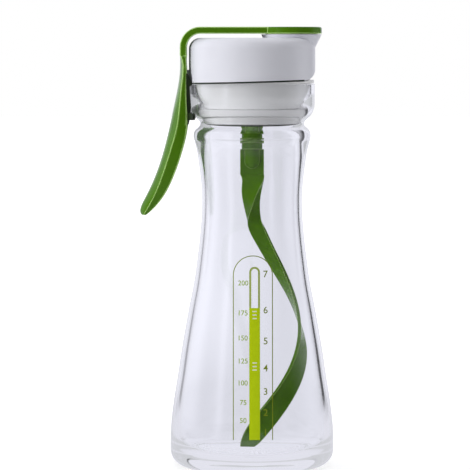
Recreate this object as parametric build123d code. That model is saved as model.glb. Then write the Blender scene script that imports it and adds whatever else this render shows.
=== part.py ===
from build123d import *
from math import cos, radians, sin, sqrt
import os

# A glass salad dressing shaker. A white lid plugs the neck, a green blade hangs from it inside the
# bottle, and a sprung green lever at the left opens the pour flap. Units are mm, +Z is up, the bottle
# stands on its base at the origin, +X is the pouring side and -X the lever side.

# Clearances
running_gap = 0.05
seat_gap = 0.3
overrun = 1.0

# Glass bottle
bottle_height = 170.8
base_radius = 36.5
widest_height = 12.0
heel_radius = 7.0
waist_radius = 22.3
waist_drop = 51.9
rim_radius = 27.9
rim_band = 9.4
rim_edge_radius = 0.7
rim_wall = 1.9
neck_inset = 3.0
neck_drop = 26.2
bead_inset = 1.8
bead_drop = 22.4
groove_inset = 4.9
groove_drop = 17.7
groove_half_height = 1.3
mouth_depth = 6.3
funnel_taper = 4.4
funnel_depth = 17.8
waist_wall = 1.8
base_wall = 3.4
floor_thickness = 5.0
inner_heel_radius = 9.0
base_ring_inner = 21.0
base_ring_outer = 28.0
base_ring_depth = 0.6
# The flare between waist and base: how far down, and how much of the radius is gained there
flare_drop_shares = [0.284, 0.485, 0.686]
flare_gain_shares = [0.190, 0.465, 0.718]
bead_start_share = 0.5
shoulder_bulge_share = 0.62
shoulder_rise_share = 0.36
arc_share = 1 - sqrt(0.5)

# Lid cap
cap_overhang = 0.2
cap_height = 20.0
cap_wall = 2.0
cap_top_round = 5.0
cap_rake = 1.4
pour_corner_radius = 4.8
pour_corner_inset = 5.2

# Pour spout, on the lid cap
spout_offset = 17.5
spout_bore_radius = 6.6
spout_root_radius = 9.0
spout_lip_radius = 13.5
spout_lip_wall = 1.6
spout_rise = 1.6
spout_length = 9.0
spout_flare_depth = 1.8

# Stopper plug, the cone under the lid cap
plug_gap = 0.25
plug_depth = 18.2
plug_wall = 1.8
plug_floor = 2.2
plug_flange_height = 2.2
plug_edge_round = 0.8
plug_skirt_inset = 0.5
plug_skirt_gap = 0.45
plug_hub_radius = 5.2
plug_hub_height = 9.0
pour_slot_inner = 8.6
pour_slot_outer = 16.6
pour_slot_half_angle = 42.0
vent_radius = 2.2
vent_offset = 13.0

# Seal ring round the plug
seal_drop = 10.8
seal_height = 2.6
seal_depth = 1.3
seal_glass_gap = 0.08

# Agitator post, fixed in the plug
post_stem_radius = 2.6
post_stem_length = 8.0
post_collar_radius = 4.63
post_collar_height = 1.2
post_neck_radius = 4.2
post_neck_height = 2.1
post_groove_radius = 3.7
post_groove_height = 0.8
post_pin_radius = 2.0
post_pin_length = 10.6
post_bulb_radius = 2.3
post_bulb_height = 1.4

# Agitator: socket, then a flat root blade that turns into a helical ribbon
socket_collar_height = 0.95
socket_collar_radius = 4.9
socket_ear_width = 10.6
socket_ear_depth = 3.0
socket_body_radius = 4.63
socket_body_height = 3.3
socket_boss_radius = 3.3
socket_length = 14.6
root_blade_width = 10.6
root_blade_thickness = 2.0
root_blade_drop = 17.2
blade_reach_share = 0.7613
blade_width = 12.2
ribbon_thickness = 1.45
blade_floor_gap = 5.0
# Ribbon stations from its start to its lower end. The drop is a share of the ribbon's height, the
# reach a share of the blade's reach, the chord a share of blade_width and the root a share of
# root_blade_width, which fades out as the ribbon becomes thin. Lead is how far the place runs
# ahead of the section's own turn.
ribbon_drop_shares = [
    0, 0.051, 0.103, 0.147, 0.191, 0.261, 0.368, 0.471, 0.552, 0.637, 0.729, 0.839, 0.94, 1
]
ribbon_reach_shares = [
    0, 0.03, 0.09, 0.160, 0.246, 0.390, 0.587, 0.745, 0.835, 0.920, 0.980, 1.0, 0.91, 0.78
]
ribbon_chord_shares = [
    0.164, 0.246, 0.312, 0.410, 0.541, 0.664, 0.754, 0.803, 0.844, 0.885, 0.920, 0.97, 0.86, 0.5
]
ribbon_root_shares = [1, 0.800, 0.640, 0.410, 0.110, 0, 0, 0, 0, 0, 0, 0, 0, 0]
ribbon_turn_angles = [180, 158, 135, 116, 86, 59, 35, 14, -2, -22, -42, -66, -86, -96]
ribbon_lead_angles = [0, -68, -38, -30, -9, 0, 0, 0, 0, 0, 0, 0, 0, 0]

# Lever: pivot, handle, the channel behind it, and the arm to the pour flap
pivot_outset = 2.45
pivot_drop = 7.2
lever_travel_angle = 7.0
arm_half_width = 8.2
arm_thickness = 3.0
arm_corner_radius = 9.0
arm_gap = 0.9
handle_rise = 12.0
handle_length = 70.7
handle_sweep = 18.0
handle_depth = 8.4
handle_half_width = 10.6
handle_drop_shares = [0, 0.071, 0.17, 0.297, 0.41, 0.575, 0.737, 0.881, 0.959, 1.0]
handle_sweep_shares = [0, 0, 0.040, 0.139, 0.233, 0.389, 0.594, 0.850, 0.990, 0.960]
handle_depth_shares = [0.357, 0.36, 0.44, 0.655, 0.905, 1.0, 0.99, 0.94, 0.70, 0.24]
handle_ridge_shares = [0.10, 0.45, 0.41, 0.44, 0.43, 0.37, 0.37, 0.46, 0.54, 0.50]
handle_hollow_shares = [0.95, 0.75, 0.60, 0.50, 0.60, 0.72, 0.70, 0.68, 0.75, 0.85]
handle_width_shares = [0.775, 0.84, 0.96, 1.0, 0.99, 0.93, 0.84, 0.71, 0.56, 0.32]
handle_edge_share = 0.95
channel_half_width = 6.2
channel_wall = 1.25
channel_room = 2.05
channel_end_drop = 4.6

# Soft pads on the lever's inner edges, beside the rim, each with a claw under the rim
pad_gap = 0.23
pad_seat_depth = 0.15
pad_side_reach = 9.9
pad_claw_gap = 0.55
pad_claw_wall = 1.4
pad_claw_low_drop = 15.9
pad_claw_height = 3.0
pad_claw_start_angle = 16.0
pad_claw_end_angle = 30.3
pad_claw_round = 1.3
# Side outline of a pad, down from the rim's top and out from the rim's radius
pad_top_drop = -4.6
pad_top_inset = -0.6
pad_tip_drop = 0.4
pad_tip_inset = 1.4
pad_notch_drop = 1.2
pad_notch_inset = 0.2
pad_waist_drop = 10.4
pad_waist_inset = 0.9
pad_end_drop = 18.2
pad_end_inset = -0.4

# Pour flap, on the lever's arm, and its silicone seal
flap_radius = 13.5
flap_edge_round = 0.9
flap_seal_stub_radius = 5.0
flap_seal_stub_height = 1.4
flap_seal_depth = 1.5
flap_seal_gap = 0.35

# Hinge: pin, tongue under the cap that carries it, and torsion spring
pin_radius = 1.0
pin_half_length = 9.1
pin_end_gap = 0.2
tongue_half_width = 2.8
tongue_thickness = 1.6
tongue_rim_gap = 0.4
tongue_rise = 5.8
boss_wall = 0.7
spring_wire_radius = 0.3
spring_coil_radius = 1.5
spring_turns = 3.25
spring_pitch = 0.62
spring_leg_gap = 0.4
spring_wall_leg = 4.0

# Levels and places that follow
waist_height = bottle_height - waist_drop
neck_radius = rim_radius - neck_inset
neck_top = bottle_height - neck_drop
bead_radius = rim_radius - bead_inset
bead_height = bottle_height - bead_drop
groove_radius = rim_radius - groove_inset
groove_height = bottle_height - groove_drop
mouth_radius = rim_radius - rim_wall
bore_radius = mouth_radius - funnel_taper
mouth_low = bottle_height - mouth_depth
bore_top = bottle_height - funnel_depth
cavity_radius = base_radius - base_wall
lid_seat = bottle_height + seat_gap
cap_radius = rim_radius + cap_overhang
cap_top = lid_seat + cap_height
spout_top = cap_top + spout_rise
plug_bottom = bottle_height - plug_depth
cone_slope = funnel_taper / funnel_depth
pivot_x = -(rim_radius + pivot_outset)
pivot_z = bottle_height - pivot_drop
arm_under = spout_top + seat_gap
arm_top = arm_under + arm_thickness
arm_inner_x = -(cap_radius + arm_gap)
arm_outer_x = arm_inner_x - arm_thickness
handle_top = lid_seat + handle_rise
squeeze_at_rim = (pivot_z - bottle_height + rim_band) * sin(radians(lever_travel_angle))
pad_radius = rim_radius + squeeze_at_rim + pad_gap
boss_radius = pin_radius + boss_wall
tongue_top = lid_seat + tongue_rise
spring_handle_leg = channel_room - spring_leg_gap
spring_side = (tongue_half_width + channel_half_width) / 2
post_bottom = plug_bottom - post_neck_height - post_collar_height - post_groove_height
ribbon_top = post_bottom - root_blade_drop
ribbon_bottom = floor_thickness + blade_floor_gap
blade_reach = cavity_radius * blade_reach_share


def face_of(*lines):
    """Face inside a closed chain of lines and arcs."""
    return make_face([edge for line in lines for edge in line.edges()])


def revolved(*lines):
    """Closed outline in the XZ plane, turned about the Z axis."""
    return revolve(face_of(*lines), Axis.Z)


def spot(radius, height):
    return (radius, 0, height)


def outline(points):
    return Polyline(*[spot(r, z) for r, z in points])


def ring(inner, outer, low, high):
    return Pos(0, 0, low) * extrude(Circle(outer) - Circle(inner), high - low)


def rod(radius, low, high):
    return Pos(0, 0, low) * extrude(Circle(radius), high - low)


def sector(start, end, low, high):
    """Wedge about the Z axis between two angles, wider than the whole object."""
    reach = 2 * base_radius
    sides = [Vector(reach, 0).rotate(Axis.Z, angle) for angle in (start, end)]
    return Pos(0, 0, low) * extrude(face_of(Polyline((0, 0), *sides, close=True)), high - low)


def side_plate(lines, half_width):
    """Closed outline in the XZ plane, grown equally to both sides along Y."""
    return extrude(face_of(*lines), half_width, both=True, dir=(0, 1, 0))


def flare_points(wall_top, wall_low):
    points = []
    for drop, gain in zip(flare_drop_shares, flare_gain_shares):
        wall = wall_top + (wall_low - wall_top) * gain
        radius = waist_radius + (base_radius - waist_radius) * gain - wall
        points.append(spot(radius, waist_height - (waist_height - widest_height) * drop))
    return points


def glass_bottle():
    up = (0, 0, 1)
    band_low = bottle_height - rim_band
    groove_low = groove_height - groove_half_height
    groove_high = groove_height + groove_half_height
    groove_edge = groove_radius + groove_half_height * bead_start_share
    shoulder = spot(
        groove_edge + (rim_radius - groove_edge) * shoulder_bulge_share,
        groove_high + (band_low - groove_high) * shoulder_rise_share,
    )
    edge = rim_edge_radius
    waist = spot(waist_radius, waist_height)
    widest = spot(base_radius, widest_height)
    outer = [
        outline([(0, 0), (base_radius - heel_radius, 0)]),
        ThreePointArc(
            spot(base_radius - heel_radius, 0),
            spot(base_radius - heel_radius * arc_share, heel_radius * arc_share),
            spot(base_radius, heel_radius),
        ),
        outline([(base_radius, heel_radius), (base_radius, widest_height)]),
        Spline(widest, *reversed(flare_points(0, 0)), waist, tangents=[up, up]),
        Spline(
            waist,
            spot(neck_radius, neck_top),
            tangents=[up, (neck_radius - waist_radius, 0, bead_radius)],
        ),
        ThreePointArc(
            spot(neck_radius, neck_top),
            spot(bead_radius, bead_height),
            spot(groove_edge, groove_low),
        ),
        ThreePointArc(
            spot(groove_edge, groove_low),
            spot(groove_radius, groove_height),
            spot(groove_edge, groove_high),
        ),
        ThreePointArc(spot(groove_edge, groove_high), shoulder, spot(rim_radius, band_low)),
        outline([(rim_radius, band_low), (rim_radius, bottle_height - edge)]),
        ThreePointArc(
            spot(rim_radius, bottle_height - edge),
            spot(rim_radius - edge * arc_share, bottle_height - edge * arc_share),
            spot(rim_radius - edge, bottle_height),
        ),
    ]
    bore_waist = spot(waist_radius - waist_wall, waist_height)
    heel = inner_heel_radius
    floor = floor_thickness
    inner = [
        outline(
            [
                (rim_radius - edge, bottle_height),
                (mouth_radius, bottle_height),
                (mouth_radius, mouth_low),
                (bore_radius, bore_top),
                (bore_radius, neck_top),
            ]
        ),
        Spline(spot(bore_radius, neck_top), bore_waist, tangents=[(0, 0, -1), (0, 0, -1)]),
        Spline(
            bore_waist,
            *flare_points(waist_wall, base_wall),
            spot(cavity_radius, floor + heel),
            tangents=[(0, 0, -1), (0, 0, -1)],
        ),
        ThreePointArc(
            spot(cavity_radius, floor + heel),
            spot(cavity_radius - heel * arc_share, floor + heel * arc_share),
            spot(cavity_radius - heel, floor),
        ),
        outline([(cavity_radius - heel, floor), (0, floor), (0, 0)]),
    ]
    glass = revolved(*outer, *inner)
    return glass - ring(base_ring_inner, base_ring_outer, -overrun, base_ring_depth)


def pour_side_cutter():
    """What lies under the cap's raked foot, with the big round corner on the pouring side."""
    reach = cap_radius + spout_lip_radius
    corner_x = cap_radius - pour_corner_inset
    foot = lid_seat + cap_rake
    low = lid_seat - cap_height
    edges = [
        Polyline(
            spot(-reach, low),
            spot(-reach, lid_seat),
            spot(-cap_radius, lid_seat),
            spot(corner_x, foot),
        ),
        ThreePointArc(
            spot(corner_x, foot),
            spot(cap_radius - pour_corner_inset * arc_share, foot + pour_corner_radius * arc_share),
            spot(cap_radius, foot + pour_corner_radius),
        ),
        Polyline(
            spot(cap_radius, foot + pour_corner_radius),
            spot(reach, foot + pour_corner_radius),
            spot(reach, low),
            spot(-reach, low),
        ),
    ]
    return side_plate(edges, reach)


def spout_outside():
    low = spout_top - spout_length
    cone = outline(
        [(0, low), (spout_root_radius, low), (spout_lip_radius, spout_top), (0, spout_top), (0, low)]
    )
    return Pos(spout_offset, 0, 0) * revolved(cone)


def spout_inside():
    flare_low = spout_top - spout_flare_depth
    mouth = spout_lip_radius - spout_lip_wall
    line = outline(
        [
            (0, spout_top - spout_length - overrun),
            (spout_bore_radius, spout_top - spout_length - overrun),
            (spout_bore_radius, flare_low),
            (mouth, spout_top),
            (mouth, spout_top + overrun),
            (0, spout_top + overrun),
            (0, spout_top - spout_length - overrun),
        ]
    )
    return Pos(spout_offset, 0, 0) * revolved(line)


def hinge_hole(radius, half_length):
    hole = Cylinder(radius, 2 * half_length, rotation=(90, 0, 0))
    return Pos(pivot_x, 0, pivot_z) * hole


def hinge_tongue():
    """Tongue that hangs from the cap's wall beside the rim, with a boss for the pin."""
    plate = Pos(pivot_x + boss_radius - tongue_thickness, 0, pivot_z) * Box(
        tongue_thickness + cap_wall,
        2 * tongue_half_width,
        tongue_top - pivot_z,
        align=(Align.MIN, Align.CENTER, Align.MIN),
    )
    boss = hinge_hole(boss_radius, tongue_half_width)
    rim_room = rod(rim_radius + tongue_rim_gap, pivot_z - rim_band, lid_seat)
    inside = rod(cap_radius - cap_wall, lid_seat, tongue_top + overrun)
    return plate + boss - rim_room - inside


def lid_cap():
    body = rod(cap_radius, lid_seat, cap_top)
    body = fillet(body.edges().sort_by(Axis.Z)[-1], cap_top_round)
    outside = body - pour_side_cutter()
    cavity = rod(cap_radius - cap_wall, lid_seat - overrun, cap_top - cap_wall)
    cavity = fillet(cavity.edges().sort_by(Axis.Z)[-1], cap_top_round - cap_wall)
    spout = spout_outside() - rod(cap_radius - cap_wall, lid_seat, cap_top - cap_wall)
    shell = outside - cavity + (spout - cavity) - spout_inside()
    return shell + hinge_tongue() - hinge_hole(pin_radius + running_gap, pin_half_length)


def funnel_radius(height):
    """Radius of the glass funnel, under the straight mouth, at a height."""
    return bore_radius + (height - bore_top) * funnel_taper / (mouth_low - bore_top)


def cone_radius(height):
    """Radius of the cone that the plug follows, from the bore to the mouth's edge."""
    return bore_radius + (height - bore_top) * cone_slope


def stopper_plug():
    top = bottle_height
    flange = cap_radius - cap_wall - plug_gap
    low = plug_bottom
    low_radius = cone_radius(bore_top) - plug_gap
    top_radius = cone_radius(top) - plug_gap
    edge = plug_edge_round
    flange_top = lid_seat + plug_flange_height + cap_rake
    inner_low = low + plug_floor
    shell = revolved(
        outline(
            [
                (0, low),
                (low_radius - edge, low),
                (low_radius, low + edge),
                (top_radius, top),
                (top_radius, lid_seat + cap_rake),
                (flange, lid_seat + cap_rake),
                (flange, flange_top),
                (top_radius - plug_wall, flange_top),
                (low_radius - plug_wall, inner_low),
                (plug_hub_radius, inner_low),
                (plug_hub_radius, low + plug_hub_height),
                (0, low + plug_hub_height),
                (0, low),
            ]
        )
    )
    skirt = ring(top_radius - plug_wall, cap_radius - plug_skirt_inset, lid_seat, lid_seat + cap_rake)
    skirt = skirt & (Pos(0, 0, -plug_skirt_gap) * pour_side_cutter())
    shell = shell + skirt
    groove_top = top - seal_drop
    groove = ring(
        cone_radius(groove_top - seal_height) - plug_gap - seal_depth,
        mouth_radius + overrun,
        groove_top - seal_height,
        groove_top,
    )
    slot = ring(pour_slot_inner, pour_slot_outer, low - overrun, inner_low + overrun)
    wedge = sector(-pour_slot_half_angle, pour_slot_half_angle, low - overrun, inner_low + overrun)
    vent = Pos(-vent_offset, 0, 0) * rod(vent_radius, low - overrun, inner_low + overrun)
    stem_hole = rod(post_stem_radius + running_gap, low - overrun, low + post_stem_length + running_gap)
    return shell - groove - (slot & wedge) - vent - stem_hole


def plug_seal():
    high = bottle_height - seal_drop - running_gap
    low = bottle_height - seal_drop - seal_height + running_gap
    inner = cone_radius(bottle_height - seal_drop - seal_height) - plug_gap - seal_depth + running_gap
    return revolved(
        outline(
            [
                (inner, low),
                (funnel_radius(low) - seal_glass_gap, low),
                (funnel_radius(high) - seal_glass_gap, high),
                (inner, high),
                (inner, low),
            ]
        )
    )


def post_outline(gap):
    """The pin under the post with its snap bulb, grown by a gap for the socket."""
    top = post_bottom
    low = top - post_pin_length
    bulb_top = low + 2 * post_bulb_height
    return outline(
        [
            (0, top),
            (post_pin_radius + gap, top),
            (post_pin_radius + gap, bulb_top),
            (post_bulb_radius + gap, bulb_top - post_bulb_height / 2),
            (post_bulb_radius + gap, low + post_bulb_height / 2),
            (post_pin_radius + gap, low - gap),
            (0, low - gap),
            (0, top),
        ]
    )


def agitator_post():
    collar_top = plug_bottom - post_neck_height
    collar_low = collar_top - post_collar_height
    post = rod(post_stem_radius, plug_bottom - running_gap, plug_bottom + post_stem_length)
    post = post + rod(post_neck_radius, collar_top, plug_bottom - running_gap)
    post = post + rod(post_collar_radius, collar_low, collar_top)
    post = post + rod(post_groove_radius, post_bottom, collar_low)
    return post + revolved(post_outline(0))


def ribbon_section(index):
    drop = ribbon_drop_shares[index]
    turn = radians(ribbon_turn_angles[index])
    place = radians(ribbon_turn_angles[index] + ribbon_lead_angles[index])
    reach = blade_reach * ribbon_reach_shares[index]
    chord = blade_width * ribbon_chord_shares[index]
    depth = ribbon_thickness + (root_blade_width - ribbon_thickness) * ribbon_root_shares[index]
    height = ribbon_top + (ribbon_bottom - ribbon_top) * drop
    centre = Vector(reach * cos(place), reach * sin(place), height)
    out = Vector(cos(turn), sin(turn), 0) * (depth / 2)
    along = Vector(-sin(turn), cos(turn), 0) * (chord / 2)
    corners = [centre - along - out, centre + along - out, centre + along + out, centre - along + out]
    return face_of(Polyline(*corners, close=True))


def agitator():
    top = post_bottom - running_gap
    ring_low = top - socket_collar_height
    body_low = ring_low - socket_body_height
    boss_low = top - socket_length
    socket = rod(socket_collar_radius, ring_low, top)
    ears = Pos(0, 0, ring_low) * Box(
        socket_ear_width,
        socket_ear_depth,
        socket_collar_height,
        align=(Align.CENTER, Align.CENTER, Align.MIN),
    )
    socket = socket + ears + rod(socket_body_radius, body_low, ring_low)
    boss = rod(socket_boss_radius, boss_low + socket_boss_radius, body_low)
    boss_end = Pos(0, 0, boss_low + socket_boss_radius) * Sphere(socket_boss_radius)
    root = Pos(0, 0, ribbon_top) * Box(
        root_blade_width,
        root_blade_thickness,
        body_low - ribbon_top,
        align=(Align.CENTER, Align.CENTER, Align.MIN),
    )
    ribbon = loft([ribbon_section(index) for index in range(len(ribbon_drop_shares))])
    blade = socket + boss + boss_end + root + ribbon
    return blade - revolved(post_outline(running_gap))


def handle_section(index):
    height = handle_top - handle_length * handle_drop_shares[index]
    outer = arm_outer_x - handle_sweep * handle_sweep_shares[index]
    depth = handle_depth * handle_depth_shares[index]
    ridge = outer + depth * handle_ridge_shares[index]
    hollow = outer + depth * handle_hollow_shares[index]
    inner = outer + depth
    half = handle_half_width * handle_width_shares[index]
    edge = half * handle_edge_share
    edges = [
        ThreePointArc((ridge, -half, height), (outer, 0, height), (ridge, half, height)),
        Line((ridge, half, height), (inner, edge, height)),
        ThreePointArc((inner, edge, height), (hollow, 0, height), (inner, -edge, height)),
        Line((inner, -edge, height), (ridge, -half, height)),
    ]
    return face_of(*edges)


def arm():
    """From the handle up past the pivot and over the cap to the flap."""
    corner = arm_corner_radius
    inner_corner = corner - arm_thickness
    edges = [
        Line(spot(arm_outer_x, handle_top), spot(arm_outer_x, arm_top - corner)),
        ThreePointArc(
            spot(arm_outer_x, arm_top - corner),
            spot(arm_outer_x + corner * arc_share, arm_top - corner * arc_share),
            spot(arm_outer_x + corner, arm_top),
        ),
        Line(spot(arm_outer_x + corner, arm_top), spot(spout_offset, arm_top)),
        Line(spot(spout_offset, arm_top), spot(spout_offset, arm_under)),
        Line(spot(spout_offset, arm_under), spot(arm_inner_x + inner_corner, arm_under)),
        ThreePointArc(
            spot(arm_inner_x + inner_corner, arm_under),
            spot(arm_inner_x + inner_corner * arc_share, arm_under - inner_corner * arc_share),
            spot(arm_inner_x, arm_under - inner_corner),
        ),
        Line(spot(arm_inner_x, arm_under - inner_corner), spot(arm_inner_x, handle_top)),
        Line(spot(arm_inner_x, handle_top), spot(arm_outer_x, handle_top)),
    ]
    return side_plate(edges, arm_half_width)


def channel():
    """Room behind the handle for the tongue, its boss and the spring."""
    back = pivot_x - channel_room
    top = tongue_top + spring_leg_gap
    low = pivot_z - channel_end_drop
    edges = Polyline(
        spot(-rim_radius, top),
        spot(arm_outer_x + channel_wall, top),
        spot(arm_outer_x + channel_wall, pivot_z + 2 * channel_room),
        spot(back, pivot_z + channel_room),
        spot(back, low),
        spot(-rim_radius, low),
        close=True,
    )
    return side_plate([edges], channel_half_width)


def pad_outline():
    """A pad's outline seen from the side, from its top down to its lower end."""
    rows = [
        (pad_top_inset, pad_top_drop),
        (pad_tip_inset, pad_tip_drop),
        (pad_notch_inset, pad_notch_drop),
        (pad_waist_inset, pad_waist_drop),
        (pad_end_inset, pad_end_drop),
    ]
    right = [spot(inset - rim_radius, bottle_height - drop) for inset, drop in rows]
    left = arm_inner_x - pad_seat_depth
    return Polyline(*right, spot(left, right[-1][-1]), spot(left, right[0][-1]), close=True)


def lever_pad(side):
    """Soft pad on one inner edge of the lever: a strip beside the rim and a claw under it."""
    strip = side_plate([pad_outline()], pad_side_reach) - side_plate([pad_outline()], channel_half_width)
    low = bottle_height - pad_claw_low_drop
    high = low + pad_claw_height
    claw_radius = pad_radius + pad_claw_gap
    claw = ring(claw_radius, claw_radius + pad_claw_wall, low, high)
    claw = claw & sector(180 - pad_claw_end_angle, 180 - pad_claw_start_angle, low, high)
    end = claw.faces().sort_by(Axis.Y)[-1]
    claw = fillet(end.edges().filter_by(Axis.Z, reverse=True), pad_claw_round)
    back = Box(2 * base_radius, base_radius, bottle_height, align=(Align.CENTER, Align.MIN, Align.MIN))
    strip = strip & (Pos(0, 0, bottle_height - neck_drop) * back)
    pad = strip - rod(pad_radius, low - rim_band, handle_top) + claw
    return pad if side > 0 else mirror(pad, Plane.XZ)


def lever():
    handle = loft([handle_section(index) for index in range(len(handle_drop_shares))])
    flap = Pos(spout_offset, 0, 0) * rod(flap_radius, arm_under, arm_top)
    flap = fillet(flap.edges().sort_by(Axis.Z)[-1], flap_edge_round)
    body = handle + arm() + flap - channel()
    body = body - lever_pad(1) - lever_pad(-1)
    socket = Pos(spout_offset, 0, 0) * rod(
        flap_seal_stub_radius + running_gap,
        arm_under - overrun,
        arm_under + flap_seal_stub_height + running_gap,
    )
    return body - socket - hinge_hole(pin_radius + running_gap, pin_half_length + pin_end_gap)


def lever_pad_front():
    return lever_pad(-1)


def lever_pad_back():
    return lever_pad(1)


def flap_seal():
    """Silicone cone that shuts the spout, with a stub pressed into the flap."""
    gap = flap_seal_gap
    mouth = spout_lip_radius - spout_lip_wall - gap
    top = arm_under - running_gap
    low = spout_top - flap_seal_depth + gap
    rise = (mouth - spout_bore_radius) / spout_flare_depth
    low_radius = mouth - (spout_top - low) * rise
    cone = outline(
        [
            (0, low),
            (low_radius, low),
            (mouth, spout_top),
            (mouth, top),
            (flap_seal_stub_radius, top),
            (flap_seal_stub_radius, arm_under + flap_seal_stub_height),
            (0, arm_under + flap_seal_stub_height),
            (0, low),
        ]
    )
    return Pos(spout_offset, 0, 0) * revolved(cone)


def hinge_pin():
    return hinge_hole(pin_radius, pin_half_length)


def lever_spring():
    """Torsion spring round the pin, one leg up beside the tongue and one behind the handle."""
    coil = Helix(pitch=spring_pitch, height=spring_pitch * spring_turns, radius=spring_coil_radius)
    first_leg = Line(coil @ 0 - (coil % 0) * spring_handle_leg, coil @ 0)
    last_leg = Line(coil @ 1, coil @ 1 + (coil % 1) * spring_wall_leg)
    path = Wire([*first_leg.edges(), *coil.edges(), *last_leg.edges()])
    section = Plane(origin=path @ 0, z_dir=path % 0) * Circle(spring_wire_radius)
    spring = sweep(section, path=path, is_frenet=True)
    spring = Pos(0, 0, -spring_pitch * spring_turns / 2) * spring
    return Pos(pivot_x, spring_side, pivot_z) * Rot(90, 0, 0) * Rot(0, 0, -90) * spring


parts = {
    "glass_bottle": glass_bottle,
    "lid_cap": lid_cap,
    "stopper_plug": stopper_plug,
    "plug_seal": plug_seal,
    "agitator_post": agitator_post,
    "agitator": agitator,
    "lever": lever,
    "lever_pad_front": lever_pad_front,
    "lever_pad_back": lever_pad_back,
    "flap_seal": flap_seal,
    "hinge_pin": hinge_pin,
    "lever_spring": lever_spring,
}

os.makedirs("parts", exist_ok=True)
for name, make in parts.items():
    solid = make()
    print(name, len(solid.solids()), round(solid.volume))
    export_step(solid, f"parts/{name}.step")
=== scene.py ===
import bpy
from math import atan2, cos, pi, radians, sin, sqrt
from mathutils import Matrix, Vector


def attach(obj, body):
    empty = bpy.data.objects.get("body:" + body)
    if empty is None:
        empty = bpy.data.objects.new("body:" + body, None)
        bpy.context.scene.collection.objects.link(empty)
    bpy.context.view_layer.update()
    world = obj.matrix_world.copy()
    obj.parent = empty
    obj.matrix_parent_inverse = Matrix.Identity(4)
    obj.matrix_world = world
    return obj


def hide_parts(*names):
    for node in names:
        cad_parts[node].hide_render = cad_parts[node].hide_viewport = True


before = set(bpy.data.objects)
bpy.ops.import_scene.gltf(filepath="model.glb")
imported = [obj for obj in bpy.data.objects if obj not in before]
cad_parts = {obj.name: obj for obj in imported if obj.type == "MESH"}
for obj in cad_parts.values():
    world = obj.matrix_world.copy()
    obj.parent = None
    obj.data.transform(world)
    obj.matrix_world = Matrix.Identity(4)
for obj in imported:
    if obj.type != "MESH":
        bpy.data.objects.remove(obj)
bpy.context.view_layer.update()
MM = 0.001

# Photograph: image size, millimetres to a pixel on the bottle's axis, and where the axis and
# the base lie. The camera stands far off and looks down a little.
IMAGE_PX = 470
MM_PER_PX = 0.447
AXIS_PX = 252.0
BASE_PX = 466.0
CAMERA_DISTANCE = 1.2
CAMERA_TILT = radians(4.0)
CAMERA_CLIP = 0.05
CENTRE_X = (IMAGE_PX / 2 - AXIS_PX) * MM_PER_PX
CENTRE_Z = (BASE_PX - IMAGE_PX / 2) * MM_PER_PX
CAMERA_BACK = CAMERA_DISTANCE * cos(CAMERA_TILT)
CAMERA_RISE = CAMERA_DISTANCE * sin(CAMERA_TILT)
CAMERA_PLACE = Vector((CENTRE_X * MM, -CAMERA_BACK, CENTRE_Z * MM + CAMERA_RISE))
CAMERA_FORWARD = Vector((0, cos(CAMERA_TILT), -sin(CAMERA_TILT)))
CAMERA_UP = Vector((0, sin(CAMERA_TILT), cos(CAMERA_TILT)))

# Glass outline, in mm, as in the frame
BOTTLE_HEIGHT = 170.8
BASE_RADIUS = 36.5
WIDEST_HEIGHT = 12.0
HEEL_RADIUS = 7.0
WAIST_RADIUS = 22.3
WAIST_HEIGHT = 118.9
FLARE_DROPS = (0.284, 0.485, 0.686)
FLARE_GAINS = (0.190, 0.465, 0.718)
FLARE_PULL = 0.3
NECK_RADIUS = 24.9
NECK_TOP = 144.6
NECK_LEAN = (2.6, 26.1)
BEAD_RADIUS = 26.1
BEAD_HEIGHT = 148.4
BEAD_FLOW = 4.5
BEAD_JOIN = 146.6
BEAD_LEANS = (0.16, 0.25)
GROOVE_RADIUS = 23.0
GROOVE_HEIGHT = 153.1
GROOVE_HALF = 1.3
SHOULDER_SHARES = (0.62, 0.36)
RIM_RADIUS = 27.9
RIM_BAND = 9.4
RIM_EDGE = 0.4
MOUTH_RADIUS = 26.0
MOUTH_DEPTH = 6.3
BORE_RADIUS = 21.6
BORE_TOP = 153.0
BORE_LEAN = (0, -20)
WAIST_WALL = 1.8
BASE_WALL = 3.4
FLOOR_THICKNESS = 5.0
INNER_HEEL = 9.0
BASE_RING = (21.0, 28.0, 0.6)
BASE_RING_SLOPE = 0.5

# Steps of the outline's curves, and round the axis
HEEL_STEPS = 12
FLANK_STEPS = 14
FLOW_STEPS = 16
BEAD_STEPS = 40
GROOVE_STEPS = 6
SWELL_STEPS = 12
RIM_STEPS = 5
BORE_STEPS = 10
GLASS_SEGMENTS = 160
ON_AXIS = 1e-6
ARC_SHARE = 1 - sqrt(0.5)

# Softened creases: lowest and highest place, and how far the mean reaches
SOFT_STEP = 0.2
SOFT_OUTSIDE = (150.0, 166.0, 1.2)
SOFT_FUNNEL = (150.0, 168.5, 2.8)


# Materials

# Plain radius of the edges, in metres, and plain gloss
EDGE = 0.0004
SHINE = 0.5
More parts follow.
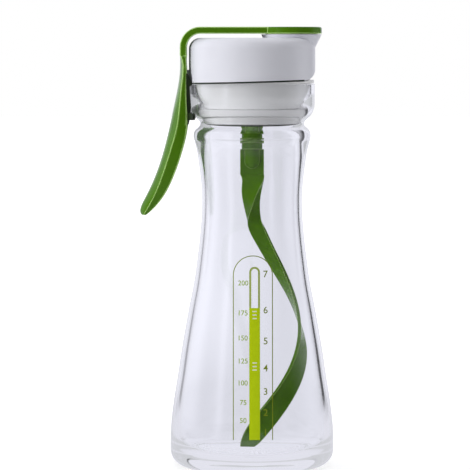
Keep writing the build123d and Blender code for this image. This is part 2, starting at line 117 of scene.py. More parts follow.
# Darkest and lightest colour, roughness, scale of the grain, radius of the edges, and gloss
PLASTICS = {
    "white_plastic": ((0.78, 0.785, 0.855), (0.82, 0.825, 0.89), 0.32, 420.0, EDGE, SHINE),
    # Painted light: the cap's white plastic made lighter for the plug, standing in for the light
    # the plug loses behind the glass
    "plug_white_lit": ((0.91, 0.91, 0.925), (0.95, 0.95, 0.96), 0.32, 420.0, EDGE, SHINE),
    "lever_green": ((0.070, 0.190, 0.003), (0.080, 0.215, 0.004), 0.24, 500.0, 0.0007, 0.18),
    "blade_green": ((0.070, 0.175, 0.0035), (0.084, 0.203, 0.005), 0.24, 500.0, EDGE, 0.1),
    "pale_silicone": ((0.86, 0.86, 0.87), (0.90, 0.90, 0.91), 0.5, 700.0, EDGE, SHINE),
    "silicone": ((0.70, 0.71, 0.73), (0.76, 0.77, 0.79), 0.55, 700.0, EDGE, SHINE),
    # Near-black rubber of the lever pads, dark partly to stand in for the shade they sit in; the
    # same colour paints the shade lines under the cap and along the plug's foot
    "dark_rubber": ((0.006, 0.014, 0.002), (0.010, 0.020, 0.004), 0.5, 700.0, EDGE, SHINE),
}
# Painted highlights: colour and reach of the pale lines along sharp edges, where the moulding would
# catch the light
EDGE_HIGHLIGHTS = {
    "lever_green": ((0.62, 0.95, 0.30), 0.0012),
    "blade_green": ((0.34, 0.50, 0.15), 0.0007),
}
# Darkest and lightest colour
INKS = {
    "pale_ink": ((0.86, 0.88, 0.72), (0.90, 0.92, 0.76)),
    "lime_ink": ((0.51, 0.67, 0.0), (0.55, 0.71, 0.003)),
    "leaf_ink": ((0.36, 0.44, 0.10), (0.39, 0.475, 0.12)),
    "moss_ink": ((0.29, 0.43, 0.0), (0.32, 0.47, 0.002)),
    "olive_ink": ((0.20, 0.26, 0.01), (0.23, 0.30, 0.015)),
}
NODE_MATERIALS = {
    "lid_cap": "white_plastic",
    # lighter copy of the white plastic, painted light on the plug
    "stopper_plug": "plug_white_lit",
    "plug_seal": "pale_silicone",
    "agitator_post": "blade_green",
    "agitator": "blade_green",
    "lever": "lever_green",
    "lever_pad_front": "dark_rubber",
    "lever_pad_back": "dark_rubber",
    "flap_seal": "silicone",
    "hinge_pin": "steel",
    "lever_spring": "steel",
}

COLOUR_PLACES = (0.3, 0.7)
PLASTIC_IOR = 1.49
BLOTCH_SCALE = 45.0
BLOTCH_DETAIL = 3.0
GRAIN_DETAIL = 4.0
GRAIN_STRENGTH = 0.08
GRAIN_HEIGHT = 0.0003
EDGE_SAMPLES = 6
# Painted edge highlight: samples, and where its mask starts and where it is full
HIGHLIGHT_SAMPLES = 8
HIGHLIGHT_FLAT = 0.97
HIGHLIGHT_SHARP = 0.91
GLASS_COLOUR = (0.985, 0.99, 0.995, 1)
GLASS_SHADOW = (0.97, 0.975, 0.98, 1)
GLASS_IOR = 1.5
TRAPPED_DEPTH = 2.5
TRAPPED_GLOW = (0.60, 0.61, 0.64, 1)
STEEL_COLOUR = (0.62, 0.63, 0.65, 1)
STEEL_ROUGHNESS = (0.22, 0.36)
STEEL_SCALE = 900.0
STEEL_DETAIL = 2.0
INK_ROUGHNESS = 0.45
INK_SHINE = 0.2
INK_SCALE = 600.0


def add_node(tree, kind, inputs=None, **settings):
    """A new shader node. Each input named gets a link from a socket, or a plain value."""
    node = tree.nodes.new(kind)
    for key, value in settings.items():
        setattr(node, key, value)
    for key, value in (inputs or {}).items():
        if isinstance(value, bpy.types.NodeSocket):
            tree.links.new(value, node.inputs[key])
        else:
            node.inputs[key].default_value = value
    return node


def new_material(name, values):
    material = bpy.data.materials.new(name)
    material.use_nodes = True
    tree = material.node_tree
    shader = tree.nodes["Principled BSDF"]
    for key, value in values.items():
        shader.inputs[key].default_value = value
    return material, tree, shader


def add_noise(tree, scale, detail):
    where = add_node(tree, "ShaderNodeTexCoord").outputs["Object"]
    inputs = {"Vector": where, "Scale": scale, "Detail": detail}
    return add_node(tree, "ShaderNodeTexNoise", inputs).outputs["Fac"]


def colour_between(tree, shader, factor, low, high):
    ramp = add_node(tree, "ShaderNodeValToRGB", {"Fac": factor})
    for element, place, colour in zip(ramp.color_ramp.elements, COLOUR_PLACES, (low, high)):
        element.position = place
        element.color = (*colour, 1)
    tree.links.new(ramp.outputs["Color"], shader.inputs["Base Color"])


def mix_colours(tree, factor, first, second):
    inputs = {"Factor": factor, "A": first, "B": second}
    return add_node(tree, "ShaderNodeMix", inputs, data_type="RGBA").outputs["Result"]


def mix_shaders(tree, factor, first, second):
    inputs = {"Fac": factor, 1: first, 2: second}
    return add_node(tree, "ShaderNodeMixShader", inputs).outputs["Shader"]


def plastic(name, low, high, roughness, grain, edge, shine):
    """Moulded plastic: a little uneven in colour, with a fine moulded surface and soft edges."""
    values = {"Roughness": roughness, "IOR": PLASTIC_IOR, "Specular IOR Level": shine}
    material, tree, shader = new_material(name, values)
    colour_between(tree, shader, add_noise(tree, BLOTCH_SCALE, BLOTCH_DETAIL), low, high)
    bevel = add_node(tree, "ShaderNodeBevel", {"Radius": edge}, samples=EDGE_SAMPLES)
    inputs = {
        "Normal": bevel.outputs["Normal"],
        "Height": add_noise(tree, grain, GRAIN_DETAIL),
        "Strength": GRAIN_STRENGTH,
        "Distance": GRAIN_HEIGHT,
    }
    bump = add_node(tree, "ShaderNodeBump", inputs)
    tree.links.new(bump.outputs["Normal"], shader.inputs["Normal"])
    return material


def paint_edge_highlights(material, colour, reach):
    """Painted highlight: paler base colour along the sharp edges, where the rounded moulding would
    catch the light.
    """
    tree = material.node_tree
    base = tree.nodes["Principled BSDF"].inputs["Base Color"]
    bevel = add_node(tree, "ShaderNodeBevel", {"Radius": reach}, samples=HIGHLIGHT_SAMPLES)
    geometry = add_node(tree, "ShaderNodeNewGeometry")
    normals = {0: bevel.outputs["Normal"], 1: geometry.outputs["Normal"]}
    same = add_node(tree, "ShaderNodeVectorMath", normals, operation="DOT_PRODUCT")
    ends = {"Value": same.outputs["Value"], "From Min": HIGHLIGHT_FLAT, "From Max": HIGHLIGHT_SHARP}
    highlight = add_node(tree, "ShaderNodeMapRange", ends).outputs["Result"]
    mixed = mix_colours(tree, highlight, base.links[0].from_socket, (*colour, 1))
    tree.links.new(mixed, base)


def glass_material():
    """Clear glass with light shadows. Light that is held in its wall ends as a soft glow."""
    values = {"Base Color": GLASS_COLOUR, "Roughness": 0.0, "IOR": GLASS_IOR}
    values["Transmission Weight"] = 1.0
    material, tree, shader = new_material("clear_glass", values)
    path = add_node(tree, "ShaderNodeLightPath")
    clear = add_node(tree, "ShaderNodeBsdfTransparent", {"Color": GLASS_SHADOW})
    shadow = path.outputs["Is Shadow Ray"]
    glass = mix_shaders(tree, shadow, shader.outputs["BSDF"], clear.outputs["BSDF"])
    depth = {0: path.outputs["Glossy Depth"], 1: TRAPPED_DEPTH}
    trapped = add_node(tree, "ShaderNodeMath", depth, operation="GREATER_THAN")
    glow = add_node(tree, "ShaderNodeEmission", {"Color": TRAPPED_GLOW})
    held = mix_shaders(tree, trapped.outputs["Value"], glass, glow.outputs["Emission"])
    tree.links.new(held, tree.nodes["Material Output"].inputs["Surface"])
    return material


def steel_material():
    values = {"Base Color": STEEL_COLOUR, "Metallic": 1.0}
    material, tree, shader = new_material("spring_steel", values)
    noise = add_noise(tree, STEEL_SCALE, STEEL_DETAIL)
    low, high = STEEL_ROUGHNESS
    spread = add_node(tree, "ShaderNodeMapRange", {"Value": noise, "To Min": low, "To Max": high})
    tree.links.new(spread.outputs["Result"], shader.inputs["Roughness"])
    return material


def ink_material(name, low, high):
    values = {"Roughness": INK_ROUGHNESS, "Specular IOR Level": INK_SHINE}
    material, tree, shader = new_material(name, values)
    colour_between(tree, shader, add_noise(tree, INK_SCALE, BLOTCH_DETAIL), low, high)
    return material


def make_materials():
    made = {"glass": glass_material(), "steel": steel_material()}
    for name, look in PLASTICS.items():
        made[name] = plastic(name, *look)
    for name, highlight in EDGE_HIGHLIGHTS.items():
        # Painted highlights along the sharp edges of the green plastics
        paint_edge_highlights(made[name], *highlight)
    for name, colours in INKS.items():
        made[name] = ink_material(name, *colours)
    return made


MATERIALS = make_materials()


def finish_nodes():
    for node, material in NODE_MATERIALS.items():
        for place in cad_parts[node].material_slots:
            place.material = MATERIALS[material]


# Glass

def smooth_run(points, start, end, steps):
    """Points of a smooth curve through the given ones, with the given directions at its ends."""
    count = len(points)
    tangents = [start]
    for i in range(1, count - 1):
        tangents.append(tuple((points[i + 1][k] - points[i - 1][k]) / 2 for k in (0, 1)))
    tangents.append(end)
    found = []
    for i in range(count - 1):
        parts = (points[i], tangents[i], points[i + 1], tangents[i + 1])
        for j in range(steps):
            t = j / steps
            weights = (
                2 * t**3 - 3 * t**2 + 1,
                t**3 - 2 * t**2 + t,
                3 * t**2 - 2 * t**3,
                t**3 - t**2,
            )
            found.append(tuple(sum(w * p[k] for w, p in zip(weights, parts)) for k in (0, 1)))
    return found + [points[-1]]


def arc_through(a, b, c, steps):
    """Points of the round arc from a through b to c."""
    ax, ay = a
    bx, by = b
    cx, cy = c
    d = 2 * (ax * (by - cy) + bx * (cy - ay) + cx * (ay - by))
    sa, sb, sc = ax * ax + ay * ay, bx * bx + by * by, cx * cx + cy * cy
    ox = (sa * (by - cy) + sb * (cy - ay) + sc * (ay - by)) / d
    oy = (sa * (cx - bx) + sb * (ax - cx) + sc * (bx - ax)) / d
    first, middle, last = (atan2(p[1] - oy, p[0] - ox) for p in (a, b, c))
    turn = (last - first) % (2 * pi)
    if (middle - first) % (2 * pi) > turn:
        turn -= 2 * pi
    radius = sqrt((ax - ox) ** 2 + (ay - oy) ** 2)
    angles = [first + turn * i / steps for i in range(steps + 1)]
    return [(ox + radius * cos(t), oy + radius * sin(t)) for t in angles]


def round_corner(corner, start, end, steps):
    """Points of the quarter arc from start to end that rounds a square corner."""
    middle = tuple(corner[k] + (start[k] + end[k] - 2 * corner[k]) * ARC_SHARE for k in (0, 1))
    return arc_through(start, middle, end, steps)


def flare(wall_top, wall_low):
    """Points of the flank between waist and base, set in by a wall that grows downwards."""
    span = WAIST_HEIGHT - WIDEST_HEIGHT
    points = []
    for drop, gain in zip(FLARE_DROPS, FLARE_GAINS):
        wall = wall_top + (wall_low - wall_top) * gain
        radius = WAIST_RADIUS + (BASE_RADIUS - WAIST_RADIUS) * gain - wall
        points.append((radius, WAIST_HEIGHT - span * drop))
    return points


def outer_profile():
    """Radius and height of the outside, from the base ring up to the rim's edge."""
    band_low = BOTTLE_HEIGHT - RIM_BAND
    groove_edge = GROOVE_RADIUS + GROOVE_HALF / 2
    groove_low = (groove_edge, GROOVE_HEIGHT - GROOVE_HALF)
    groove_high = (groove_edge, GROOVE_HEIGHT + GROOVE_HALF)
    heel = round_corner(
        (BASE_RADIUS, 0), (BASE_RADIUS - HEEL_RADIUS, 0), (BASE_RADIUS, HEEL_RADIUS), HEEL_STEPS
    )
    waist = (WAIST_RADIUS, WAIST_HEIGHT)
    pull = (0, (WAIST_HEIGHT - WIDEST_HEIGHT) * FLARE_PULL)
    flank = [(BASE_RADIUS, WIDEST_HEIGHT), *reversed(flare(0, 0)), waist]
    flank = smooth_run(flank, pull, pull, FLANK_STEPS)
    neck_top = (NECK_RADIUS, NECK_TOP)
    neck = smooth_run([waist, neck_top], (0, NECK_TOP - WAIST_HEIGHT), NECK_LEAN, FLANK_STEPS)
    neck = [point for point in neck if point[1] < NECK_TOP - BEAD_FLOW]
    bead = arc_through(neck_top, (BEAD_RADIUS, BEAD_HEIGHT), groove_low, BEAD_STEPS)
    bead = [point for point in bead if point[1] > BEAD_JOIN]
    rise = bead[0][1] - neck[-1][1]
    lower, upper = ((lean * rise, rise) for lean in BEAD_LEANS)
    flow = smooth_run([neck[-1], bead[0]], lower, upper, FLOW_STEPS)
    groove = arc_through(groove_low, (GROOVE_RADIUS, GROOVE_HEIGHT), groove_high, GROOVE_STEPS)
    shoulder = (
        groove_edge + (RIM_RADIUS - groove_edge) * SHOULDER_SHARES[0],
        groove_high[1] + (band_low - groove_high[1]) * SHOULDER_SHARES[1],
    )
    swell = arc_through(groove_high, shoulder, (RIM_RADIUS, band_low), SWELL_STEPS)
    rim = round_corner(
        (RIM_RADIUS, BOTTLE_HEIGHT),
        (RIM_RADIUS, BOTTLE_HEIGHT - RIM_EDGE),
        (RIM_RADIUS - RIM_EDGE, BOTTLE_HEIGHT),
        RIM_STEPS,
    )
    return heel + flank + neck[1:] + flow[1:] + bead[1:] + groove[1:] + swell[1:] + rim


def inner_profile():
    """Radius and height of the inside, from the mouth down to the floor's edge."""
    cavity = BASE_RADIUS - BASE_WALL
    waist = (WAIST_RADIUS - WAIST_WALL, WAIST_HEIGHT)
    neck = smooth_run([(BORE_RADIUS, NECK_TOP), waist], BORE_LEAN, BORE_LEAN, BORE_STEPS)
    pull = (0, -(WAIST_HEIGHT - WIDEST_HEIGHT) * FLARE_PULL)
    low = (cavity, FLOOR_THICKNESS + INNER_HEEL)
    flank = smooth_run([waist, *flare(WAIST_WALL, BASE_WALL), low], pull, pull, FLANK_STEPS)
    heel_end = (cavity - INNER_HEEL, FLOOR_THICKNESS)
    heel = round_corner((cavity, FLOOR_THICKNESS), low, heel_end, BORE_STEPS)
    funnel = [
        (MOUTH_RADIUS, BOTTLE_HEIGHT),
        (MOUTH_RADIUS, BOTTLE_HEIGHT - MOUTH_DEPTH),
        (BORE_RADIUS, BORE_TOP),
    ]
    return funnel + neck + flank[1:] + heel[1:]


def soften(points, low, high, reach):
    """Rounds an outline's creases between two heights, by a running mean that fades to its ends."""
    spaced = [points[0]]
    for point in points[1:]:
        last = spaced[-1]
        gap = sqrt((point[0] - last[0]) ** 2 + (point[1] - last[1]) ** 2)
        inside = min(last[1], point[1]) <= high and max(last[1], point[1]) >= low
        steps = max(1, int(gap / SOFT_STEP)) if inside else 1
        for i in range(1, steps + 1):
            spaced.append(tuple(last[k] + (point[k] - last[k]) * i / steps for k in (0, 1)))
    found = []
    for i, point in enumerate(spaced):
        span = int(min(reach, point[1] - low, high - point[1]) / SOFT_STEP)
        if span > 0:
            near = spaced[i - span : i + span + 1]
            point = tuple(sum(p[k] for p in near) / len(near) for k in (0, 1))
        found.append(point)
    return found


def new_piece(name, verts, faces, material, smooth=False):
    mesh = bpy.data.meshes.new(name)
    mesh.from_pydata(verts, [], faces)
    for face in mesh.polygons:
        face.use_smooth = smooth
    mesh.update()
    mesh.materials.append(MATERIALS[material])
    piece = bpy.data.objects.new(name, mesh)
    bpy.context.scene.collection.objects.link(piece)
    return piece


def lathe(name, profile, segments, material, smooth=False):
    """Solid turned about the bottle's axis. Its profile ends on the axis, or is a closed loop."""
    verts = []
    faces = []
    rings = []
    closed = profile[0] == profile[-1]
    for radius, height in profile[:-1] if closed else profile:
        if radius < ON_AXIS:
            rings.append([len(verts)])
            verts.append((0, 0, height * MM))
            continue
        start = len(verts)
        for i in range(segments):
            angle = 2 * pi * i / segments
            verts.append((radius * MM * cos(angle), radius * MM * sin(angle), height * MM))
        rings.append(list(range(start, start + segments)))
    for low, high in zip(rings, rings[1:] + rings[:1] if closed else rings[1:]):
        for i in range(segments):
            j = (i + 1) % segments
            if len(low) == 1:
                faces.append((low[0], high[j], high[i]))
            elif len(high) == 1:
                faces.append((low[i], low[j], high[0]))
            else:
                faces.append((low[i], low[j], high[j], high[i]))
    return new_piece(name, verts, faces, material, smooth)


def make_glass():
    ring_in, ring_out, ring_depth = BASE_RING
    foot = [
        (0, 0),
        (ring_in, 0),
        (ring_in + BASE_RING_SLOPE, ring_depth),
        (ring_out - BASE_RING_SLOPE, ring_depth),
        (ring_out, 0),
    ]
    outside = soften(outer_profile(), *SOFT_OUTSIDE)
    inside = soften(inner_profile(), *SOFT_FUNNEL)
    profile = foot + outside + inside + [(0, FLOOR_THICKNESS)]
    glass = lathe("glass_body", profile, GLASS_SEGMENTS, "glass", True)
    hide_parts("glass_bottle")
    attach(glass, "bottle")


# Small parts of the lid, and painted shade lines that ride with it, in mm

LID_SEAT = 171.1
CAP_RADIUS = 28.1
CAP_RAKE = 1.4
CAP_CORNER_X = 22.9
# Painted shade line under the cap: radii and heights of its section about the raked foot, and its
# least height over the rim's top
SHADE_LINE_RADII = (26.2, 28.15, 28.15, 26.2)
SHADE_LINE_HEIGHTS = (-0.42, -0.42, 0.22, 0.22)
SHADE_LINE_CLEARANCE = 0.1
RING_SEGMENTS = 96
SLEEVE_SEGMENTS = 48
# Painted shade: section of a dark ring along the plug's foot, where shadow falls
PLUG_SHADE_LINE = ((20.3, 151.85), (21.1, 151.85), (21.1, 152.55), (20.3, 152.55))
SLEEVE = ((4.24, 150.45), (4.55, 150.45), (4.55, 152.5), (4.24, 152.5))


def make_cap_shade_line():
    """Painted shade: a dark band in the raked slit between the cap's foot and the white skirt under
    it, lapping a little over the cap's lower edge, where shadow falls.
    """
    start = atan2(sqrt(max(SHADE_LINE_RADII) ** 2 - CAP_CORNER_X**2), CAP_CORNER_X)
    corners = len(SHADE_LINE_RADII)
    verts = []
    for i in range(RING_SEGMENTS + 1):
        angle = start + (2 * pi - 2 * start) * i / RING_SEGMENTS
        for radius, drop in zip(SHADE_LINE_RADII, SHADE_LINE_HEIGHTS):
            x = radius * cos(angle)
            foot = LID_SEAT + CAP_RAKE * (x + CAP_RADIUS) / (CAP_CORNER_X + CAP_RADIUS)
            height = max(foot + drop, BOTTLE_HEIGHT + SHADE_LINE_CLEARANCE)
            verts.append((x * MM, radius * sin(angle) * MM, height * MM))
    first = tuple(range(corners))
    faces = [first, tuple(corners * RING_SEGMENTS + k for k in reversed(first))]
    for i in range(RING_SEGMENTS):
        for k in first:
            a, b = corners * i + k, corners * i + (k + 1) % corners
            faces.append((a, a + corners, b + corners, b))
    piece = new_piece("cap_shade_line", verts, faces, "dark_rubber")
    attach(piece, "lid")


def make_lid_ring(name, section, segments, material):
    """Plain ring about the bottle's axis that rides with the lid."""
    ring = lathe(name, section + section[:1], segments, material)
    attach(ring, "lid")


# Printed scale on the front of the glass. Pixels are those of the photograph, the rest is in mm.

INK_LIFT = 0.02
INK_THICKNESS = 0.05
FILL_LIFT = 0.01
TICK_LIFT = 0.03
CAPSULE_LEFT_PX = 232.9
CAPSULE_RIGHT_PX = 272.8
CAPSULE_TOP_PX = 255.2
CAPSULE_LINE = 0.38
TUBE_LEFT_PX = 249.2
TUBE_RIGHT_PX = 260.0
TUBE_TOP_PX = 266.8
TUBE_LINE = 0.88
PRINT_BOTTOM_PX = 440.0
ARCH_STEPS = 24
ARCH_ROW = 2.0
FILL_TOP_PX = 308.0
FILL_ROW = 1.5
FILL_COLUMNS = 4
ML_MARKS = (
    ("200", 283), ("175", 313), ("150", 338), ("125", 361),
    ("100", 383), ("75", 402.5), ("50", 420.5),
)
ML_CENTRE_PX = 243.2
ML_HEIGHT_PX = 4.9
OZ_MARKS = (
    ("7", 274), ("6", 310), ("5", 341), ("4", 368),
    ("3", 391.5), ("2", 412.5), ("1", 432.5),
)
OZ_CENTRE_PX = 265.6
OZ_HEIGHT_PX = 6.6
NUMBER_WEIGHT = 0.008
TICK_ROWS_PX = (311.5, 315.0, 318.5, 363.0, 366.5, 370.0)
TICK_HALF_PX = 2.2
TICK_HEIGHT = 0.5
SIGHT_STEPS = 12


FLANK = [point for point in outer_profile() if HEEL_RADIUS <= point[1] <= NECK_TOP]


def glass_radius(height):
    """Outer radius of the glass at a height on its flank."""
    for (r0, z0), (r1, z1) in zip(FLANK, FLANK[1:]):
        if z0 <= height <= z1 and z1 > z0:
            return r0 + (r1 - r0) * (height - z0) / (z1 - z0)
    return FLANK[0][0]


def wrap_point(x, z, lift):
    """A point of the flat print, laid on the front of the glass."""
    radius = glass_radius(z) + lift
    return (x * MM, -sqrt(radius * radius - x * x) * MM, z * MM)


def seen_at(px, py):
    """Width and height of the place on the front glass that the photograph shows at a pixel."""
    right = (px - IMAGE_PX / 2) * MM_PER_PX * MM / CAMERA_DISTANCE
    up = (IMAGE_PX / 2 - py) * MM_PER_PX * MM / CAMERA_DISTANCE
    ray = CAMERA_FORWARD + CAMERA_UP * up + Vector((right, 0, 0))
    depth = -BASE_RADIUS * MM
    for _ in range(SIGHT_STEPS):
        spot = CAMERA_PLACE + ray * ((depth - CAMERA_PLACE.y) / ray.y)
        x, z = spot.x / MM, spot.z / MM
        depth = -sqrt(glass_radius(z) ** 2 - x * x) * MM
    return x, z


def add_print(name, points, faces, ink, thickness=INK_THICKNESS):
    """Thin raised ink: flat points and faces, wrapped on the glass and closed behind."""
    count = len(points)
    verts = [wrap_point(x, z, INK_LIFT + thickness) for x, z in points]
    verts += [wrap_point(x, z, INK_LIFT) for x, z in points]
    front = [tuple(face) for face in faces]
    back = [tuple(i + count for i in reversed(face)) for face in faces]
    used = {}
    for face in faces:
        for edge in zip(face, face[1:] + face[:1]):
            used[edge] = True
    sides = [(b, a, a + count, b + count) for a, b in used if (b, a) not in used]
    piece = new_piece(name, verts, front + back + sides, ink)
    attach(piece, "bottle")


def arch(left, right, top, bottom, inset):
    """Open arch line: straight sides up to a round top, drawn inset from its outer edge."""
    middle = (left + right) / 2
    radius = (right - left) / 2 - inset
    spring = top - (right - left) / 2
    rows = max(2, int((spring - bottom) / ARCH_ROW))
    rise = [bottom + (spring - bottom) * i / rows for i in range(rows)]
    fall = [spring - (spring - bottom) * (i + 1) / rows for i in range(rows)]
    angles = [pi * i / ARCH_STEPS for i in range(ARCH_STEPS + 1)]
    points = [(middle - radius, height) for height in rise]
    points += [(middle - radius * cos(angle), spring + radius * sin(angle)) for angle in angles]
    points += [(middle + radius, height) for height in fall]
    return points


def make_arch(name, left_px, right_px, top_px, line, ink):
    left, top = seen_at(left_px, top_px)
    right = seen_at(right_px, top_px)[0]
    bottom = seen_at(left_px, PRINT_BOTTOM_PX)[1]
    outer = arch(left, right, top, bottom, 0)
    inner = arch(left, right, top, bottom, line)
    count = len(outer)
    faces = [[i + 1, count + i + 1, count + i, i] for i in range(count - 1)]
    add_print(name, outer + inner, faces, ink)


def make_fill():
    left, top = seen_at(TUBE_LEFT_PX, FILL_TOP_PX)
    right, bottom = seen_at(TUBE_RIGHT_PX, PRINT_BOTTOM_PX)
    rows = int((top - bottom) / FILL_ROW)
    width = FILL_COLUMNS + 1
    points = []
    for j in range(rows + 1):
        height = bottom + (top - bottom) * j / rows
        points += [(left + (right - left) * i / FILL_COLUMNS, height) for i in range(width)]
    faces = []
    for j in range(rows):
        for a in range(j * width, j * width + FILL_COLUMNS):
            faces.append([a, a + 1, a + width + 1, a + width])
    add_print("scale_fill", points, faces, "lime_ink", INK_THICKNESS + FILL_LIFT)


def make_number(label, name, centre_px, row_px, height_px, ink):
    """A plain number, from the default font, wrapped on the glass."""
    curve = bpy.data.curves.new(name, "FONT")
    curve.body = label
    curve.align_x = "CENTER"
    curve.align_y = "CENTER"
    curve.size = 1.0
    curve.offset = NUMBER_WEIGHT
    text = bpy.data.objects.new(name, curve)
    bpy.context.scene.collection.objects.link(text)
    bpy.context.view_layer.update()
    flat = bpy.data.meshes.new_from_object(text)
    bpy.data.objects.remove(text)
    xs = [v.co.x for v in flat.vertices]
    ys = [v.co.y for v in flat.vertices]
    scale = height_px * MM_PER_PX / (max(ys) - min(ys))
    mid_x, mid_y = (max(xs) + min(xs)) / 2, (max(ys) + min(ys)) / 2
    centre, row = seen_at(centre_px, row_px)
    points = [(centre + (x - mid_x) * scale, row + (y - mid_y) * scale) for x, y in zip(xs, ys)]
    faces = [list(face.vertices) for face in flat.polygons]
    bpy.data.meshes.remove(flat)
    add_print(name, points, faces, ink)


def make_ticks():
    """Plain pale dashes in the filled part of the tube."""
    middle = (TUBE_LEFT_PX + TUBE_RIGHT_PX) / 2
    for row_px in TICK_ROWS_PX:
        left, row = seen_at(middle - TICK_HALF_PX, row_px)
        right = seen_at(middle + TICK_HALF_PX, row_px)[0]
        low, high = row - TICK_HEIGHT / 2, row + TICK_HEIGHT / 2
        points = [(left, low), (right, low), (right, high), (left, high)]
        add_print("scale_tick", points, [[0, 1, 2, 3]], "pale_ink", INK_THICKNESS + TICK_LIFT)


def make_scale():
    make_ticks()
    capsule = (CAPSULE_LEFT_PX, CAPSULE_RIGHT_PX, CAPSULE_TOP_PX, CAPSULE_LINE)
    make_arch("scale_outline", *capsule, "olive_ink")
    make_arch("scale_tube", TUBE_LEFT_PX, TUBE_RIGHT_PX, TUBE_TOP_PX, TUBE_LINE, "leaf_ink")
    make_fill()
    for label, row in ML_MARKS:
        make_number(label, f"scale_ml_{label}", ML_CENTRE_PX, row, ML_HEIGHT_PX, "moss_ink")
    for label, row in OZ_MARKS:
        make_number(label, f"scale_oz_{label}", OZ_CENTRE_PX, row, OZ_HEIGHT_PX, "olive_ink")


# Stage. The studio is a pattern of directions: places across it, from left to right, and levels.

BACK_STOPS = (
    (0.0, 1.20), (0.10, 0.90), (0.17, 0.35), (0.20, 0.35), (0.225, 0.95),
    (0.45, 0.97), (0.50, 0.89), (0.54, 0.80), (0.60, 0.80), (0.64, 0.95),
    (0.775, 0.95), (0.80, 0.02), (0.85, 0.03), (0.92, 0.50), (1.0, 0.80),
)
FRONT_STOPS = (
    (0.0, 0.10), (0.06, 0.25), (0.115, 1.30), (0.17, 0.20), (0.22, 0.06), (0.95, 0.06), (1.0, 0.30),
)
BELOW_LEVEL = 0.80
FRONT_TO_BACK = (-0.25, 0.25)
BELOW_TO_SIDES = (-0.35, -0.15)
TINT = (0.965, 0.965, 1.06)
SOFT_LEVEL = 0.27
SOFT_INSIDE = 0.44
BACKDROP = (1.0, 1.0, 1.0, 1)
STUDIO_EYE = (0, 0, 0.1)

FLOOR_RADIUS = 6.0
FLOOR_SEGMENTS = 96
FLOOR_COLOUR = (0.80, 0.80, 0.81, 1)
FLOOR_ROUGHNESS = 0.9
# Distance from the bottle's axis and added glow, where the glow starts to grow and where it ends
FLOOR_NEAR = (0.10, 0.50)
FLOOR_FAR = (0.45, 1.0)

# Name, place, size and power
LIGHTS = (
    ("key", (-1.35, -0.65, 0.6), (0.9, 1.1), 15.5),
    ("fill", (0.9, -1.1, 0.5), (0.8, 0.8), 0.8),
    ("top", (-0.1, 0.1, 1.3), (0.9, 0.9), 4.0),
    ("edge", (1.1, 0.3, 0.4), (0.4, 1.0), 3.2),
)
LIGHT_TARGET = (0, 0, 0.1)


def tinted(level):
    return (*[level * tint for tint in TINT], 1)


def level_ramp(tree, value, stops):
    ramp = add_node(tree, "ShaderNodeValToRGB", {"Fac": value})
    elements = ramp.color_ramp.elements
    while len(elements) < len(stops):
        elements.new(0.5)
    for element, (place, level) in zip(elements, stops):
        element.position = place
        element.color = tinted(level)
    return ramp.outputs["Color"]


def between(tree, value, low, high):
    """Smooth step of a value from 0 at low to 1 at high."""
    inputs = {"Value": value, "From Min": low, "From Max": high}
    step = add_node(tree, "ShaderNodeMapRange", inputs, interpolation_type="SMOOTHSTEP")
    return step.outputs["Result"]


def studio_pattern(tree, way):
    """What clear and glossy surfaces see: a light back with dark sides, and a dark room in front.

    Light that only passes through clear walls, with no reflection, finds the light back all round.
    """
    split = add_node(tree, "ShaderNodeSeparateXYZ", {"Vector": way})
    inputs = {"Value": split.outputs["X"], "From Min": -1.0, "From Max": 1.0}
    across = add_node(tree, "ShaderNodeMapRange", inputs).outputs["Result"]
    back = level_ramp(tree, across, BACK_STOPS)
    front = level_ramp(tree, across, FRONT_STOPS)
    path = add_node(tree, "ShaderNodeLightPath")
    front = mix_colours(tree, path.outputs["Glossy Depth"], back, front)
    sides = mix_colours(tree, between(tree, split.outputs["Y"], *FRONT_TO_BACK), front, back)
    height = between(tree, split.outputs["Z"], *BELOW_TO_SIDES)
    return mix_colours(tree, height, tinted(BELOW_LEVEL), sides)


def lit_floor(tree, shader, path, spot):
    """The floor with its shadows. Camera rays see it lifted to white, away from the bottle."""
    far = add_node(tree, "ShaderNodeVectorMath", {0: spot}, operation="LENGTH")
    inputs = {
        "Value": far.outputs["Value"],
        "From Min": FLOOR_NEAR[0],
        "From Max": FLOOR_FAR[0],
        "To Min": FLOOR_NEAR[1],
        "To Max": FLOOR_FAR[1],
    }
    lift = add_node(tree, "ShaderNodeMapRange", inputs)
    parts = {0: path.outputs["Is Camera Ray"], 1: lift.outputs["Result"]}
    strength = add_node(tree, "ShaderNodeMath", parts, operation="MULTIPLY")
    glow = add_node(tree, "ShaderNodeEmission", {"Strength": strength.outputs["Value"]})
    both = {0: shader.outputs["BSDF"], 1: glow.outputs["Emission"]}
    return add_node(tree, "ShaderNodeAddShader", both).outputs["Shader"]


def mirrored_floor(tree, spot):
    """The studio pattern as it would be seen from the bottle, past the floor."""
    away = add_node(tree, "ShaderNodeVectorMath", {0: spot, 1: STUDIO_EYE}, operation="SUBTRACT")
    way = add_node(tree, "ShaderNodeVectorMath", {0: away.outputs["Vector"]}, operation="NORMALIZE")
    pattern = studio_pattern(tree, way.outputs["Vector"])
    return add_node(tree, "ShaderNodeEmission", {"Color": pattern}).outputs["Emission"]


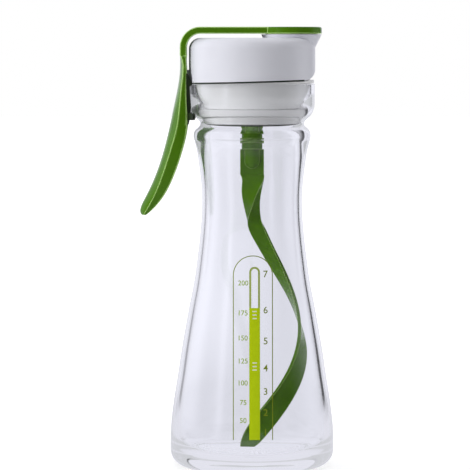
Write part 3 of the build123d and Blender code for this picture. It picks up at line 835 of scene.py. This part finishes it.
def make_floor():
    """Pale floor. Clear and glossy surfaces see the studio in it."""
    bpy.ops.mesh.primitive_circle_add(
        vertices=FLOOR_SEGMENTS, radius=FLOOR_RADIUS, fill_type="NGON", location=(0, 0, 0)
    )
    floor = bpy.context.object
    floor.name = "floor"
    values = {"Base Color": FLOOR_COLOUR, "Roughness": FLOOR_ROUGHNESS, "Specular IOR Level": 0.0}
    material, tree, shader = new_material("pale_floor", values)
    path = add_node(tree, "ShaderNodeLightPath")
    spot = add_node(tree, "ShaderNodeTexCoord").outputs["Object"]
    kinds = {0: path.outputs["Is Glossy Ray"], 1: path.outputs["Is Transmission Ray"]}
    clear = add_node(tree, "ShaderNodeMath", kinds, operation="MAXIMUM")
    parts = {0: clear.outputs["Value"], 1: path.outputs["Diffuse Depth"]}
    mirrored = add_node(tree, "ShaderNodeMath", parts, operation="SUBTRACT", use_clamp=True)
    lit = lit_floor(tree, shader, path, spot)
    mixed = mix_shaders(tree, mirrored.outputs["Value"], lit, mirrored_floor(tree, spot))
    tree.links.new(mixed, tree.nodes["Material Output"].inputs["Surface"])
    floor.data.materials.append(material)


def make_world():
    """The studio pattern, a soft level for matt surfaces and a white backdrop for the camera."""
    world = bpy.data.worlds.new("studio")
    bpy.context.scene.world = world
    world.use_nodes = True
    tree = world.node_tree
    path = add_node(tree, "ShaderNodeLightPath")
    where = add_node(tree, "ShaderNodeTexCoord")
    pattern = studio_pattern(tree, where.outputs["Generated"])
    open_air, through_glass = ((level, level, level, 1) for level in (SOFT_LEVEL, SOFT_INSIDE))
    soft = mix_colours(tree, path.outputs["Transmission Depth"], open_air, through_glass)
    colour = mix_colours(tree, path.outputs["Diffuse Depth"], pattern, soft)
    colour = mix_colours(tree, path.outputs["Is Camera Ray"], colour, BACKDROP)
    tree.links.new(colour, tree.nodes["Background"].inputs["Color"])


def aim(thing, target):
    way = Vector(target) - thing.location
    thing.rotation_euler = way.to_track_quat("-Z", "Y").to_euler()


def make_lights():
    """They light the surfaces. Glass and gloss mirror the studio pattern instead of them."""
    for name, place, size, power in LIGHTS:
        data = bpy.data.lights.new(name, "AREA")
        data.shape = "RECTANGLE"
        data.size, data.size_y = size
        data.energy = power
        light = bpy.data.objects.new(name, data)
        bpy.context.scene.collection.objects.link(light)
        light.location = place
        aim(light, LIGHT_TARGET)
        light.visible_glossy = False
        light.visible_transmission = False


def make_camera():
    data = bpy.data.cameras.new("camera")
    camera = bpy.data.objects.new("camera", data)
    bpy.context.scene.collection.objects.link(camera)
    data.lens = data.sensor_width * CAMERA_DISTANCE / (IMAGE_PX * MM_PER_PX * MM)
    data.clip_start = CAMERA_CLIP
    camera.location = CAMERA_PLACE
    aim(camera, (CENTRE_X * MM, 0, CENTRE_Z * MM))
    bpy.context.scene.camera = camera


finish_nodes()
make_glass()
# Painted shade: dark line under the cap's foot
make_cap_shade_line()
# Painted shade: dark ring along the plug's foot
make_lid_ring("plug_shade_line", PLUG_SHADE_LINE, RING_SEGMENTS, "dark_rubber")
make_lid_ring("post_sleeve", SLEEVE, SLEEVE_SEGMENTS, "white_plastic")
make_scale()
make_floor()
make_world()
make_lights()
make_camera()
bpy.context.scene.view_settings.view_transform = "Standard"
